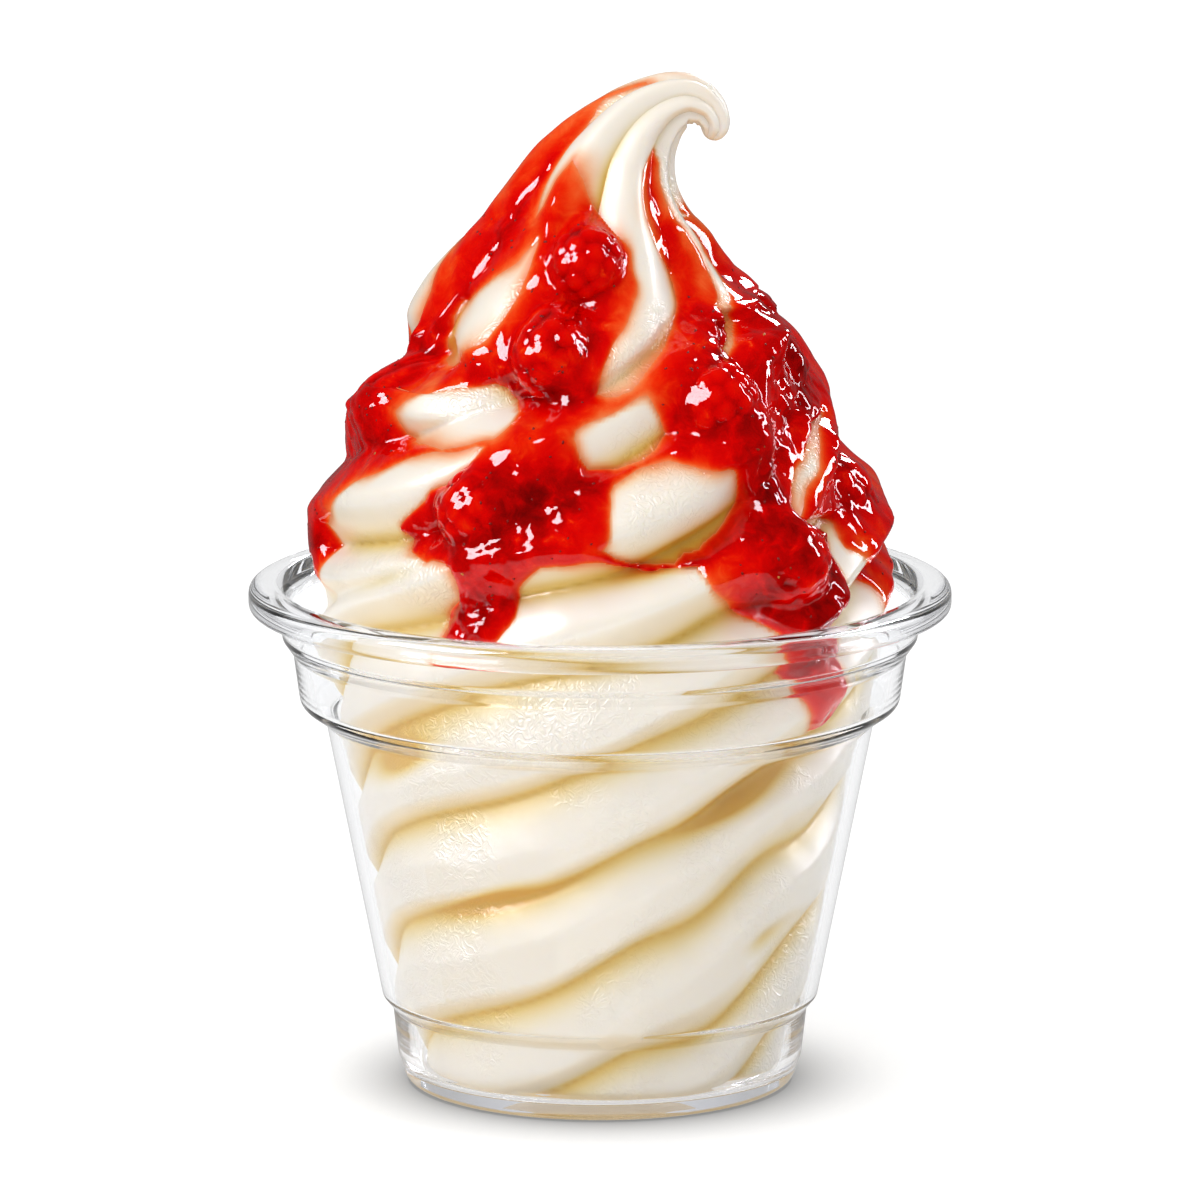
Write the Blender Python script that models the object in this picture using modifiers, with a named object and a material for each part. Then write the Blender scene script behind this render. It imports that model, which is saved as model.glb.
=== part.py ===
# Soft-serve sundae in a clear dessert cup, with a berry sauce and whole berries.
# Units are metres, +Z is up, the middle of the foot is at the origin and -Y is the front.
import math

import bmesh
import bpy
import numpy as np

MM = 0.001

# Cup, mm. The wall is followed from the middle of the inner floor, up the inside and down the outside.
CUP_STEPS = 48
CUP_WALL = [
    (0.0, 2.6), (23.2, 2.6), (24.4, 3.3), (24.8, 4.8), (26.0, 10.3), (27.3, 11.9),
    (34.5, 48.7), (37.6, 51.6), (38.8, 57.6), (40.3, 60.0), (40.5, 64.3), (41.8, 66.0),
    (43.6, 66.5), (45.4, 66.2), (46.0, 64.9), (45.4, 63.4), (41.9, 63.2), (41.6, 59.4),
    (40.2, 57.4), (39.4, 52.2), (38.2, 50.7), (35.9, 48.5), (28.7, 11.6), (27.3, 10.0),
    (26.5, 3.4), (25.9, 1.0), (25.1, 0.0), (22.4, 0.0), (21.8, 1.0), (0.0, 1.0),
]

# Middle line of the ice cream, mm across and up: upright at first, then the hooked tip.
SPINE = [
    (0.0, 2.9), (0.0, 40.0), (0.0, 80.0), (0.0, 95.0), (-0.5, 101.0), (-0.7, 106.0),
    (-0.3, 111.5), (0.5, 117.4), (2.2, 122.2), (4.9, 126.3), (8.1, 129.1), (11.3, 130.2),
    (13.7, 129.2), (14.7, 127.6), (14.8, 126.4), (14.3, 125.2),
]
# Radius over the ridges by length along the middle line, mm.
ENVELOPE = [
    (2.9, 21.8), (4.2, 24.1), (10.0, 25.4), (12.0, 26.8), (48.0, 33.9), (52.0, 35.6),
    (58.0, 36.9), (66.0, 37.8), (73.0, 37.8), (80.0, 36.4), (88.0, 33.0), (95.0, 29.0),
    (101.6, 25.0), (107.1, 20.1), (112.1, 15.8), (118.2, 11.6), (123.2, 8.6), (127.9, 6.2),
    (132.1, 4.5), (136.2, 3.2), (139.3, 2.3), (141.7, 1.95), (144.5, 1.7),
]

# Folds of the mound: six of them, each crossing the front at these heights, mm.
MOUND_FOLDS = 6
MOUND_TWIST = [
    (2.9, -6.5), (9.7, -6.0), (24.8, -5.0), (37.7, -4.0), (52.2, -3.0), (67.8, -2.0),
    (79.8, -1.0), (94.0, 0.0), (104.0, 0.8),
]
MOUND_LEAN = [(0.0, 3.4), (60.0, 3.2), (80.0, 1.6), (104.0, 1.6)]
MOUND_DEPTH = [(3.0, 2.2), (20.0, 3.6), (45.0, 4.2), (60.0, 4.4), (75.0, 4.8), (104.0, 4.8)]

# Folds of the upper cone: eight, one of them led along this line (mm along, degrees round).
CONE_FOLDS = 8
CONE_CROWD = 2.0
CONE_CROWD_AT = 110.0
CONE_LINE = [
    (94.0, -14.0), (97.0, -3.0), (100.0, 7.0), (104.0, 14.5), (108.0, 18.5), (112.0, 21.0),
    (118.0, 20.0), (124.0, 14.0), (130.0, 8.0), (146.0, 0.0),
]
CONE_DEPTH = [
    (94.0, 3.6), (98.0, 4.0), (105.0, 4.0), (112.0, 3.2), (120.0, 1.9), (128.0, 1.0),
    (136.0, 0.45), (144.0, 0.1),
]
# Where the cone sits down on the mound: degrees round, mm along.
SEAM = [
    (-180.0, 101.0), (-90.0, 101.0), (-60.0, 101.0), (-36.0, 98.3), (-12.0, 96.6),
    (0.0, 96.6), (12.0, 98.8), (25.0, 101.5), (45.0, 103.0), (64.0, 102.0),
    (84.0, 99.5), (110.0, 99.5), (180.0, 101.0),
]
# Deep creases: degrees round, mm along, mm deep, degrees wide, mm wide.
CREASES = [
    (36.0, 43.5, 1.8, 12.0, 2.6), (-24.0, 31.5, 1.4, 14.0, 2.0), (-50.0, 47.0, 1.8, 12.0, 3.0),
    (45.0, 23.5, 1.2, 10.0, 2.2), (22.0, 77.0, 1.4, 14.0, 1.8), (80.0, 99.0, 1.6, 26.0, 2.6),
    (88.0, 85.5, 2.0, 22.0, 2.0),
]

# Sauce runs: (degrees round, mm along, half width in mm) from end to end.
SAUCE_RUNS = [
    [(-69, 131, 0.6), (-58, 126, 1.5), (-56, 121, 2.1), (-56, 117, 3.4), (-59, 112.5, 5.2),
     (-73, 108, 4.6), (-76, 104, 3.7), (-76, 100, 3.5)],
    [(-34, 117.5, 0.4), (-35, 114, 0.8), (-40, 112, 1.2)],
    [(-110, 98, 3.0), (-80, 98, 4.6), (-64, 98, 3.8), (-52, 99.8, 1.6), (-40, 100.2, 1.3),
     (-30, 100.3, 1.6), (-24, 100.5, 3.0)],
    [(-98, 91, 6.5), (-82, 91, 7.5), (-68, 91, 5.2)],
    [(-102, 80, 5.5), (-86, 80, 5.2), (-74, 82, 3.6), (-62, 86, 1.6), (-52, 88.2, 0.9),
     (-44, 89.4, 0.5)],
    [(-84, 80, 5.2), (-80, 75, 6.0), (-79, 71, 4.2), (-77, 68.5, 2.4)],
    [(-22, 120.5, 0.8), (-12, 117.5, 2.2), (-5, 114, 4.6), (-4, 111, 6.4), (-7, 106.5, 8.2),
     (-14, 102.5, 8.0), (-14, 98, 7.0), (-13, 94, 5.2), (-16, 90.5, 5.8), (-17, 87, 7.5)],
    [(-40, 79, 2.2), (-29, 81, 5.5), (-14, 82, 5.8), (-4, 80.8, 4.6), (-1, 80.5, 3.6)],
    [(-25, 77, 4.2), (-25, 73, 3.0), (-26, 69.5, 3.8), (-29, 66.6, 3.2)],
    [(-4, 85.6, 1.4), (6, 86.6, 0.9), (14, 88, 1.2), (22, 90, 2.6)],
    [(-4, 95, 1.4), (4, 96.2, 1.0), (10, 97.6, 1.1), (16, 98.8, 2.4)],
    [(16, 98.5, 2.6), (24, 96.6, 4.6), (33, 94, 6.0), (37, 90, 5.5), (38, 85.5, 4.4),
     (38, 80, 4.4), (36, 76, 4.5)],
    [(24.5, 75, 1.8), (31, 74.5, 4.8), (41, 74.5, 6.2), (50, 75, 5.0)],
    [(36, 71, 3.6), (44, 70, 6.0), (49, 67.5, 6.0), (50, 63, 4.6), (50, 58, 4.8),
     (51.5, 54, 3.6), (54, 51, 1.8)],
    [(52, 126.5, 1.0), (50, 121, 1.3), (50, 115, 1.9), (49, 110, 2.7), (46, 105.5, 3.4),
     (38, 102.5, 3.6), (27, 100.5, 2.0)],
    [(76, 117, 1.2), (74, 111, 3.0), (72, 105, 4.4), (62, 99.5, 3.6), (50, 94, 5.0),
     (66, 95, 4.8), (84, 95, 4.6), (104, 97, 4.0)],
    [(56, 80.8, 1.2), (64, 83, 3.4), (76, 82, 6.5), (88, 80, 7.6), (102, 80, 6.0)],
    [(78, 76.5, 3.4), (90, 74, 3.8), (100, 71, 2.4), (102, 67, 1.8)],
    [(118, 118, 1.4), (124, 110, 3.6), (132, 103, 4.6), (146, 96, 6.0), (160, 90, 6.5),
     (170, 82, 5.5), (172, 76, 3.6), (173, 71, 2.6)],
    [(-162, 121, 1.2), (-158, 114, 3.0), (-152, 106, 4.6), (-144, 98, 6.0), (-136, 90, 6.4),
     (-130, 83, 5.4), (-128, 77, 3.2), (-127, 73, 2.4)],
    [(104, 96, 4.0), (124, 98, 3.4), (150, 97, 4.6), (178, 98, 4.2), (205, 97, 4.6),
     (232, 96, 3.4), (250, 98, 3.0)],
    [(116, 84, 4.6), (126, 80, 4.2), (134, 75, 2.6)],
]
# Places the sauce leaves bare, in the same form.
BARE_RUNS = [
    [(-94, 107, 1.5), (-91, 103.5, 1.6)],
    [(-34, 109, 2.0), (-47, 105.8, 4.0), (-60, 104.2, 3.0), (-66, 102.5, 1.2)],
    [(5, 97.5, 1.7), (11, 100.4, 3.3), (20, 103.6, 4.4), (28, 107.5, 4.0), (31, 112, 3.4)],
    [(-51, 93, 3.4), (-42, 93.4, 4.5), (-33, 94, 4.3), (-27, 93.6, 2.8)],
    [(-1, 90, 2.3), (6, 91.5, 3.3), (12, 92.2, 3.0)],
    [(8, 81.6, 4.4), (20, 82.2, 4.8), (26, 82.4, 3.4)],
    [(47.5, 81.5, 1.0), (52, 85, 1.2), (60, 88, 1.2), (70, 90.5, 1.1)],
    [(50, 79, 1.2), (58, 78, 1.5), (64, 76.8, 1.0)],
    [(58, 112, 1.0), (55, 108, 1.3), (51, 104, 1.2), (50, 101.6, 0.8)],
    [(168, 104, 2.0), (176, 110, 1.6)],
]
# Thick places: degrees round, mm along, mm thick, mm across.
SAUCE_LUMPS = [
    (-78, 91, 1.0, 6.0), (-86, 99.5, 2.2, 3.6), (-84, 81, 0.7, 4.5), (-87, 72.5, 3.4, 3.6),
    (-25, 81, 2.2, 6.5), (-14, 83, 1.2, 6.0), (-27, 68, 1.3, 3.6), (-6, 110, 1.2, 5.5),
    (-13, 101, 1.6, 5.5), (33, 93, 1.8, 5.5), (40, 86, 1.4, 4.5), (42, 74, 2.4, 7.0),
    (47, 68, 2.2, 5.5), (50, 58, 0.5, 4.0), (74, 106, 1.2, 4.0), (72, 95, 1.2, 5.0),
    (82, 80, 1.4, 6.5), (150, 94, 2.0, 7.0), (170, 80, 1.8, 5.0),
    (-144, 96, 2.0, 6.5), (-130, 82, 1.8, 5.0), (-62, 112, 0.9, 5.0),
]
SAUCE_THIN = 0.55
SAUCE_GAP = 0.5

# Berries: degrees round, mm along, mm out from the ridge line, radius in mm.
BERRIES = [
    (-5.0, 110.6, -1.6, 5.0), (-14.0, 100.6, -2.0, 5.2), (33.0, 93.6, -2.2, 5.4),
    (-74.0, 90.6, -4.2, 5.4), (-27.0, 81.4, -3.0, 5.6), (42.0, 74.0, -2.4, 5.8),
    (80.0, 80.6, -4.4, 5.4), (152.0, 94.6, -2.4, 5.4), (-140.0, 93.6, -2.4, 5.4),
]
BERRY_LUMP = 0.28
POCKET_GAP = 1.1

RINGS = 54
ROUND = 60
COLUMN_STOP = 97.0


def clear_scene():
    for obj in list(bpy.data.objects):
        bpy.data.objects.remove(obj, do_unlink=True)
    for mesh in list(bpy.data.meshes):
        bpy.data.meshes.remove(mesh)
    for mat in list(bpy.data.materials):
        bpy.data.materials.remove(mat)


def new_collection(name):
    coll = bpy.data.collections.new(name)
    bpy.context.scene.collection.children.link(coll)
    return coll


def material(name, colour, roughness, transmission=0.0):
    mat = bpy.data.materials.new(name)
    mat.use_nodes = True
    shader = mat.node_tree.nodes["Principled BSDF"]
    shader.inputs["Base Color"].default_value = (colour[0], colour[1], colour[2], 1.0)
    shader.inputs["Roughness"].default_value = roughness
    shader.inputs["Transmission Weight"].default_value = transmission
    shader.inputs["IOR"].default_value = 1.5
    mat.diffuse_color = (colour[0], colour[1], colour[2], 1.0)
    return mat


def along(x, table):
    # smooth curve through the (place, value) rows that keeps between its neighbours
    xs = np.array([row[0] for row in table], float)
    ys = np.array([row[1] for row in table], float)
    x = np.asarray(x, float)
    step = np.diff(xs)
    rise = np.diff(ys) / step
    slope = np.zeros(len(xs))
    total = rise[:-1] + rise[1:]
    total = np.where(np.abs(total) < 1e-12, 1.0, total)
    slope[1:-1] = np.where(rise[:-1] * rise[1:] > 0, 2 * rise[:-1] * rise[1:] / total, 0.0)
    slope[0] = rise[0]
    slope[-1] = rise[-1]
    i = np.clip(np.searchsorted(xs, x) - 1, 0, len(xs) - 2)
    t = np.clip((x - xs[i]) / step[i], 0, 1)
    value = ys[i] * (1 + 2 * t) * (1 - t) ** 2 + step[i] * slope[i] * t * (1 - t) ** 2
    return value + ys[i + 1] * t * t * (3 - 2 * t) - step[i] * slope[i + 1] * t * t * (1 - t)


def spine_frame(s):
    points = np.array(SPINE)
    parts = np.hypot(np.diff(points[:, 0]), np.diff(points[:, 1]))
    length = np.concatenate([[0.0], np.cumsum(parts)]) + SPINE[0][1]
    tangent = np.zeros_like(points)
    tangent[1:-1] = (points[2:] - points[:-2]) / (length[2:] - length[:-2])[:, None]
    tangent[:3] = (0.0, 1.0)
    tangent[-1] = (points[-1] - points[-2]) / (length[-1] - length[-2])
    s = np.asarray(s, float)
    i = np.clip(np.searchsorted(length, s) - 1, 0, len(length) - 2)
    span = length[i + 1] - length[i]
    u = np.clip((s - length[i]) / span, 0, 1)
    a = ((1 + 2 * u) * (1 - u) ** 2)[..., None]
    b = (u * (1 - u) ** 2 * span)[..., None]
    c = (u * u * (3 - 2 * u))[..., None]
    d = (-u * u * (1 - u) * span)[..., None]
    place = a * points[i] + b * tangent[i] + c * points[i + 1] + d * tangent[i + 1]
    a = ((6 * u * u - 6 * u) / span)[..., None]
    b = (3 * u * u - 4 * u + 1)[..., None]
    d = (3 * u * u - 2 * u)[..., None]
    way = a * points[i] + b * tangent[i] - a * points[i + 1] + d * tangent[i + 1]
    way = way / np.linalg.norm(way, axis=-1, keepdims=True)
    return place[..., 0], place[..., 1], way[..., 0], way[..., 1]


def spine_length():
    points = np.array(SPINE)
    parts = np.hypot(np.diff(points[:, 0]), np.diff(points[:, 1]))
    return float(parts.sum()) + SPINE[0][1]


def place(theta, s, r):
    x, z, dx, dz = spine_frame(s)
    return np.stack([x + dz * r * np.sin(theta), -r * np.cos(theta), z - dx * r * np.sin(theta)], -1)


def ease(low, high, x):
    t = np.clip((x - low) / (high - low), 0, 1)
    return t * t * (3 - 2 * t)


def fold_wave(phase, low, soft):
    # one at a fold's crest (whole phase), zero in the crease, which sits at the share low
    q = phase - np.floor(phase)
    t = np.where(q < low, q / low * 0.5, 0.5 + (q - low) / (1 - low) * 0.5)
    away = np.minimum(t, 1 - t)
    face = (np.sqrt(away ** 2 + soft ** 2) - soft) / (math.sqrt(0.25 + soft ** 2) - soft)
    return 1 - 0.8 * face - 0.2 * (1 - np.abs(np.cos(np.pi * t)))


def degrees_round(theta):
    return np.degrees((theta + np.pi) % (2 * np.pi) - np.pi)


def mound_phase(theta, s):
    lean = along(s, MOUND_LEAN)
    deg = degrees_round(theta)
    side = 0.30 * np.exp(-((deg - 58.0) / 22.0) ** 2) * ease(66.0, 84.0, s)
    turn = (MOUND_FOLDS * np.radians(deg) + lean * (1 - np.cos(theta))) / (2 * np.pi)
    return turn + side - along(s, MOUND_TWIST)


def cone_turn(theta):
    crowd = CONE_CROWD * np.sin(theta - math.radians(CONE_CROWD_AT))
    return (CONE_FOLDS * theta + crowd) / (2 * np.pi)


def cone_phase(theta, s):
    return cone_turn(theta) - cone_turn(np.radians(along(s, CONE_LINE)))


def cream_radius(theta, s):
    outer = along(s, ENVELOPE)
    deg = degrees_round(theta)
    beside_wall = 0.5 * np.exp(-((np.abs(deg) - 92.0) / 26.0) ** 2) * ease(66.0, 54.0, s)
    depth = along(s, MOUND_DEPTH) * (1 - beside_wall)
    mound = outer - depth * (1 - fold_wave(-mound_phase(theta, s), 0.45, 0.16))
    cone = outer - along(s, CONE_DEPTH) * (1 - fold_wave(-cone_phase(theta, s), 0.5, 0.18))
    seat = along(deg, SEAM)
    mix = ease(seat - 1.6, seat + 1.6, s)
    r = mound * (1 - mix) + cone * mix - 1.6 * np.exp(-((s - seat) / 2.2) ** 2)
    for a, z, deep, wide, tall in CREASES:
        r = r - deep * np.exp(-((deg - a) / wide) ** 2 - ((s - z - 0.2 * (deg - a)) / tall) ** 2)
    return r


def run_reach(deg, s, runs):
    # how far inside the nearest run a point lies, in mm, less than zero outside
    scale = np.radians(1.0) * along(s, ENVELOPE)
    best = np.full(np.shape(s), -60.0)
    for run in runs:
        for p, q in zip(run[:-1], run[1:]):
            ux = (deg - p[0] + 180.0) % 360.0 - 180.0
            x = ux * scale
            y = s - p[1]
            ex = (q[0] - p[0]) * scale
            ey = q[1] - p[1]
            t = np.clip((x * ex + y * ey) / (ex * ex + ey * ey + 1e-9), 0, 1)
            reach = p[2] + (q[2] - p[2]) * t - np.hypot(x - t * ex, y - t * ey)
            h = np.clip(0.5 + 0.5 * (reach - best) / 0.8, 0, 1)
            best = best * (1 - h) + reach * h + 0.8 * h * (1 - h)
    return best


def sauce_depth(theta, s):
    deg = degrees_round(theta)
    inside = np.minimum(run_reach(deg, s, SAUCE_RUNS), -run_reach(deg, s, BARE_RUNS))
    scale = np.radians(1.0) * along(s, ENVELOPE)
    thick = np.full(np.shape(s), SAUCE_THIN)
    for a, z, deep, wide in SAUCE_LUMPS:
        x = ((deg - a + 180.0) % 360.0 - 180.0) * scale
        thick = thick + deep * np.exp(-(x * x + (s - z) ** 2) / (wide * wide))
    edge = 1 - np.exp(-np.clip(inside, 0, 20) / 0.9)
    return thick * edge * ease(138.0, 126.0, s)


def wall_inside(s):
    # radius of the cup's inner wall, open above the rim
    inner = [(z, x) for x, z in CUP_WALL[2:12]]
    free = along(np.clip(s, inner[0][0], inner[-1][0]), inner)
    return np.where(s > inner[-1][0], 99.0, free)


def surface_radius(theta, s):
    r = cream_radius(theta, s) + sauce_depth(theta, s)
    return np.minimum(r, wall_inside(s) - SAUCE_GAP)


def link_mesh(name, verts, faces, coll, mat):
    mesh = bpy.data.meshes.new(name)
    mesh.from_pydata([tuple(v) for v in verts], [], faces)
    mesh.validate()
    mesh.update()
    obj = bpy.data.objects.new(name, mesh)
    coll.objects.link(obj)
    if mat is not None:
        mesh.materials.append(mat)
    return obj


def build_cup(coll, mat):
    verts = [(x * MM, 0.0, z * MM) for x, z in CUP_WALL]
    edges = [(i, i + 1) for i in range(len(verts) - 1)]
    mesh = bpy.data.meshes.new("cup")
    mesh.from_pydata(verts, edges, [])
    mesh.update()
    obj = bpy.data.objects.new("cup", mesh)
    coll.objects.link(obj)
    mesh.materials.append(mat)
    screw = obj.modifiers.new("revolve", "SCREW")
    screw.axis = "Z"
    screw.angle = 2 * math.pi
    screw.steps = CUP_STEPS
    screw.render_steps = CUP_STEPS
    screw.use_merge_vertices = True
    screw.merge_threshold = 0.00005
    return obj


def column_turns(s):
    # the columns of the mesh follow the folds up to the seat of the cone, then run straight
    hold = min(s, COLUMN_STOP)
    fine = np.radians(np.linspace(-180.0, 180.0, 721))
    turn = mound_phase(fine[:-1], np.full(720, hold))
    turn = np.append(turn, turn[0] + MOUND_FOLDS)
    twist = float(along(hold, MOUND_TWIST))
    start = turn[0] + twist
    want = np.arange(ROUND) * MOUND_FOLDS / ROUND + twist
    whole = np.floor((want - start) / MOUND_FOLDS)
    return np.interp(want - whole * MOUND_FOLDS, turn + twist, fine)


def build_cream(coll, mat):
    top = spine_length()
    low = np.array([2.9, 3.5, 4.6, 6.8])
    body = np.linspace(9.4, 118.0, RINGS - 14)
    tip = np.linspace(118.0, top, 11)[1:]
    rings = np.concatenate([low, body, tip])
    verts = []
    for s in rings:
        theta = column_turns(float(s))
        run = np.full(ROUND, s)
        ring = place(theta, run, surface_radius(theta, run)) * MM
        verts.extend([tuple(v) for v in ring])
    points = np.array(verts)
    faces = []
    for i in range(len(rings) - 1):
        for j in range(ROUND):
            k = (j + 1) % ROUND
            a = i * ROUND + j
            b = i * ROUND + k
            c = (i + 1) * ROUND + k
            d = (i + 1) * ROUND + j
            # each four-sided patch is split across its shorter way
            if np.linalg.norm(points[a] - points[c]) < np.linalg.norm(points[b] - points[d]):
                faces.append((a, b, c))
                faces.append((a, c, d))
            else:
                faces.append((a, b, d))
                faces.append((b, c, d))
    x, z, dx, dz = spine_frame(np.array(top))
    verts.append((0.0, 0.0, SPINE[0][1] * MM))
    verts.append(((float(x) + float(dx) * 1.1) * MM, 0.0, (float(z) + float(dz) * 1.1) * MM))
    floor = len(verts) - 2
    end = len(verts) - 1
    last = (len(rings) - 1) * ROUND
    for j in range(ROUND):
        k = (j + 1) % ROUND
        faces.append((floor, k, j))
        faces.append((end, last + j, last + k))
    return link_mesh("ice_cream", verts, faces, coll, mat)


def berry_middle(berry):
    theta = np.array(math.radians(berry[0]))
    s = np.array(berry[1])
    r = along(s, ENVELOPE) + berry[2]
    return place(theta, s, r)


def ball(name, middle, radius, lump, finer, coll, mat):
    # a ball of even triangles, made lumpy where lump is more than zero
    form = bmesh.new()
    bmesh.ops.create_icosphere(form, subdivisions=finer, radius=1.0)
    for v in form.verts:
        d = v.co.normalized()
        wave = math.sin(5.3 * d.x + 1.1) * math.sin(5.7 * d.y + 0.4) * math.sin(5.1 * d.z + 2.2)
        v.co = d * (radius + lump * wave)
    mesh = bpy.data.meshes.new(name)
    form.to_mesh(mesh)
    form.free()
    for v in mesh.vertices:
        v.co.x = (v.co.x + middle[0]) * MM
        v.co.y = (v.co.y + middle[1]) * MM
        v.co.z = (v.co.z + middle[2]) * MM
    obj = bpy.data.objects.new(name, mesh)
    coll.objects.link(obj)
    if mat is not None:
        mesh.materials.append(mat)
    return obj


def cut_pocket(body, cutter):
    cutter.hide_render = True
    cutter.display_type = "WIRE"
    cut = body.modifiers.new(cutter.name, "BOOLEAN")
    cut.operation = "DIFFERENCE"
    cut.solver = "EXACT"
    cut.object = cutter


def main():
    clear_scene()
    parts = new_collection("sundae")
    cutters = new_collection("cutters")
    clear_plastic = material("clear_plastic", (0.95, 0.97, 0.98), 0.05, 1.0)
    cream = material("cream", (0.93, 0.86, 0.70), 0.45)
    fruit = material("berry", (0.45, 0.01, 0.02), 0.25)
    build_cup(parts, clear_plastic)
    body = build_cream(parts, cream)
    for i, berry in enumerate(BERRIES):
        middle = berry_middle(berry)
        name = "berry_" + str(i + 1)
        ball(name, middle, berry[3], BERRY_LUMP, 3, parts, fruit)
        cutter = ball("pocket_" + str(i + 1), middle, berry[3] + POCKET_GAP, 0.0, 2, cutters, None)
        cut_pocket(body, cutter)


main()
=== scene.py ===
import math
import bmesh
import bpy
import numpy as np
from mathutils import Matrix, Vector


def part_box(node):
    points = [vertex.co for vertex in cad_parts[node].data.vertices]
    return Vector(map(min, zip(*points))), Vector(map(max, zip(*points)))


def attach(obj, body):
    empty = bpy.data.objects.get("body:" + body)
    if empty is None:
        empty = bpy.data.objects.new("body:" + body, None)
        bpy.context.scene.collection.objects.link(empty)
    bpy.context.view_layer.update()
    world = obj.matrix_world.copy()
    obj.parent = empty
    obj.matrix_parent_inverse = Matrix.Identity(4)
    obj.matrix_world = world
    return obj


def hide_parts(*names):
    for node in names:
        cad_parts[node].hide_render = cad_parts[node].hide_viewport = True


# Soft-serve sundae in a clear cup. Working sizes are mm, meshes are metres, +Z up, front at -Y.
# Places on the ice cream are given as degrees round from the front and mm along its middle line.

mm = 0.001
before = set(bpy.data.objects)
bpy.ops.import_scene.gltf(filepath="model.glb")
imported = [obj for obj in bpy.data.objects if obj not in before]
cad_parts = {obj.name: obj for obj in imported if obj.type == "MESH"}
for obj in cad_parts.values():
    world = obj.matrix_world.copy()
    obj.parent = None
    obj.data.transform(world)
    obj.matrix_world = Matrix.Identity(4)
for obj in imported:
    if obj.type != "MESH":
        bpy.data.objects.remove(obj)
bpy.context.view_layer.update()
print("frame loaded:", len(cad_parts), "nodes")


def smoothThrough(x, table):
    # smooth curve through rows of (place, value) that never overshoots them
    xs = np.array([row[0] for row in table], float)
    ys = np.array([row[1] for row in table], float)
    x = np.asarray(x, float)
    step = np.diff(xs)
    rise = np.diff(ys) / step
    slope = np.zeros(len(xs))
    total = rise[:-1] + rise[1:]
    total = np.where(np.abs(total) < 1e-12, 1.0, total)
    slope[1:-1] = np.where(rise[:-1] * rise[1:] > 0, 2 * rise[:-1] * rise[1:] / total, 0.0)
    slope[0], slope[-1] = rise[0], rise[-1]
    i = np.clip(np.searchsorted(xs, x) - 1, 0, len(xs) - 2)
    t = np.clip((x - xs[i]) / step[i], 0, 1)
    near = ys[i] * (1 + 2 * t) * (1 - t) ** 2 + step[i] * slope[i] * t * (1 - t) ** 2
    return near + ys[i + 1] * t * t * (3 - 2 * t) - step[i] * slope[i + 1] * t * t * (1 - t)


def ease(low, high, x):
    t = np.clip((x - low) / (high - low), 0, 1)
    return t * t * (3 - 2 * t)


def wobble(points, size, seed, waves=9):
    # soft seeded unevenness about zero, features roughly size across
    draw = np.random.default_rng(seed)
    way = draw.normal(size=(waves, 3))
    way /= np.linalg.norm(way, axis=1, keepdims=True)
    way *= 2 * np.pi / (size * draw.uniform(1.3, 2.6, size=(waves, 1)))
    phase = draw.uniform(0, 2 * np.pi, waves)
    total = np.zeros(points.shape[:-1])
    for k in range(waves):
        total += np.sin(points @ way[k] + phase[k])
    return total / math.sqrt(waves)


def packedLumps(points, size, seed):
    # rounded lumps packed side by side, about size across: 1 on top of each, 0 between them
    q = points / size
    corner = np.floor(q).astype(np.int64)
    best = np.full(q.shape[:-1], 9.0)
    for k in range(27):
        cell = corner + np.array([k % 3 - 1, k // 3 % 3 - 1, k // 9 - 1])
        key = cell[..., 0] * 73856093 ^ cell[..., 1] * 19349663
        key = key ^ cell[..., 2] * 83492791 ^ seed * 668265263
        key = (key ^ (key >> 13)) * 1274126177 & 0x7FFFFFFF
        key = (key ^ (key >> 15)) * 461845907 & 0x7FFFFFFF
        shift = np.stack([(key >> 3 & 511) / 511, (key >> 12 & 511) / 511, (key >> 21 & 511) / 511], -1)
        best = np.minimum(best, np.linalg.norm(q - cell - 0.1 - 0.8 * shift, axis=-1))
    return np.sqrt(np.clip(1 - (best / 0.8) ** 2, 0, 1))


def newMesh(name, verts, faces, material, smooth=True):
    mesh = bpy.data.meshes.new(name)
    verts = np.asarray(verts, np.float32)
    faces = np.asarray(faces, np.int32)
    sides = faces.shape[1]
    mesh.vertices.add(len(verts))
    mesh.vertices.foreach_set("co", verts.ravel())
    mesh.loops.add(faces.size)
    mesh.loops.foreach_set("vertex_index", faces.ravel())
    mesh.polygons.add(len(faces))
    mesh.polygons.foreach_set("loop_start", np.arange(0, faces.size, sides, dtype=np.int32))
    mesh.update(calc_edges=True)
    mesh.validate()
    if smooth:
        mesh.shade_smooth()
    piece = bpy.data.objects.new(name, mesh)
    bpy.context.scene.collection.objects.link(piece)
    mesh.materials.append(material)
    return piece


def pieceFromForm(name, form, material):
    mesh = bpy.data.meshes.new(name)
    form.to_mesh(mesh)
    form.free()
    mesh.shade_smooth()
    mesh.materials.append(material)
    piece = bpy.data.objects.new(name, mesh)
    bpy.context.scene.collection.objects.link(piece)
    return piece


def closeEnds(piece, columns, outward):
    # a fan of triangles from each of the last two points to the first and the last ring
    form = bmesh.new()
    form.from_mesh(piece.data)
    form.verts.ensure_lookup_table()
    points, last = form.verts, len(form.verts) - 2 - columns
    for j in range(columns):
        k = (j + 1) % columns
        a, b = (k, j) if outward else (j, k)
        form.faces.new((points[last + columns], points[a], points[b])).smooth = True
        form.faces.new((points[last + columns + 1], points[last + b], points[last + a])).smooth = True
    if not outward:
        bmesh.ops.recalc_face_normals(form, faces=form.faces[:])
    form.to_mesh(piece.data)
    form.free()


def addValue(piece, name, values):
    layer = piece.data.attributes.new(name, "FLOAT", "POINT")
    layer.data.foreach_set("value", np.asarray(values, np.float32))


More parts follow.
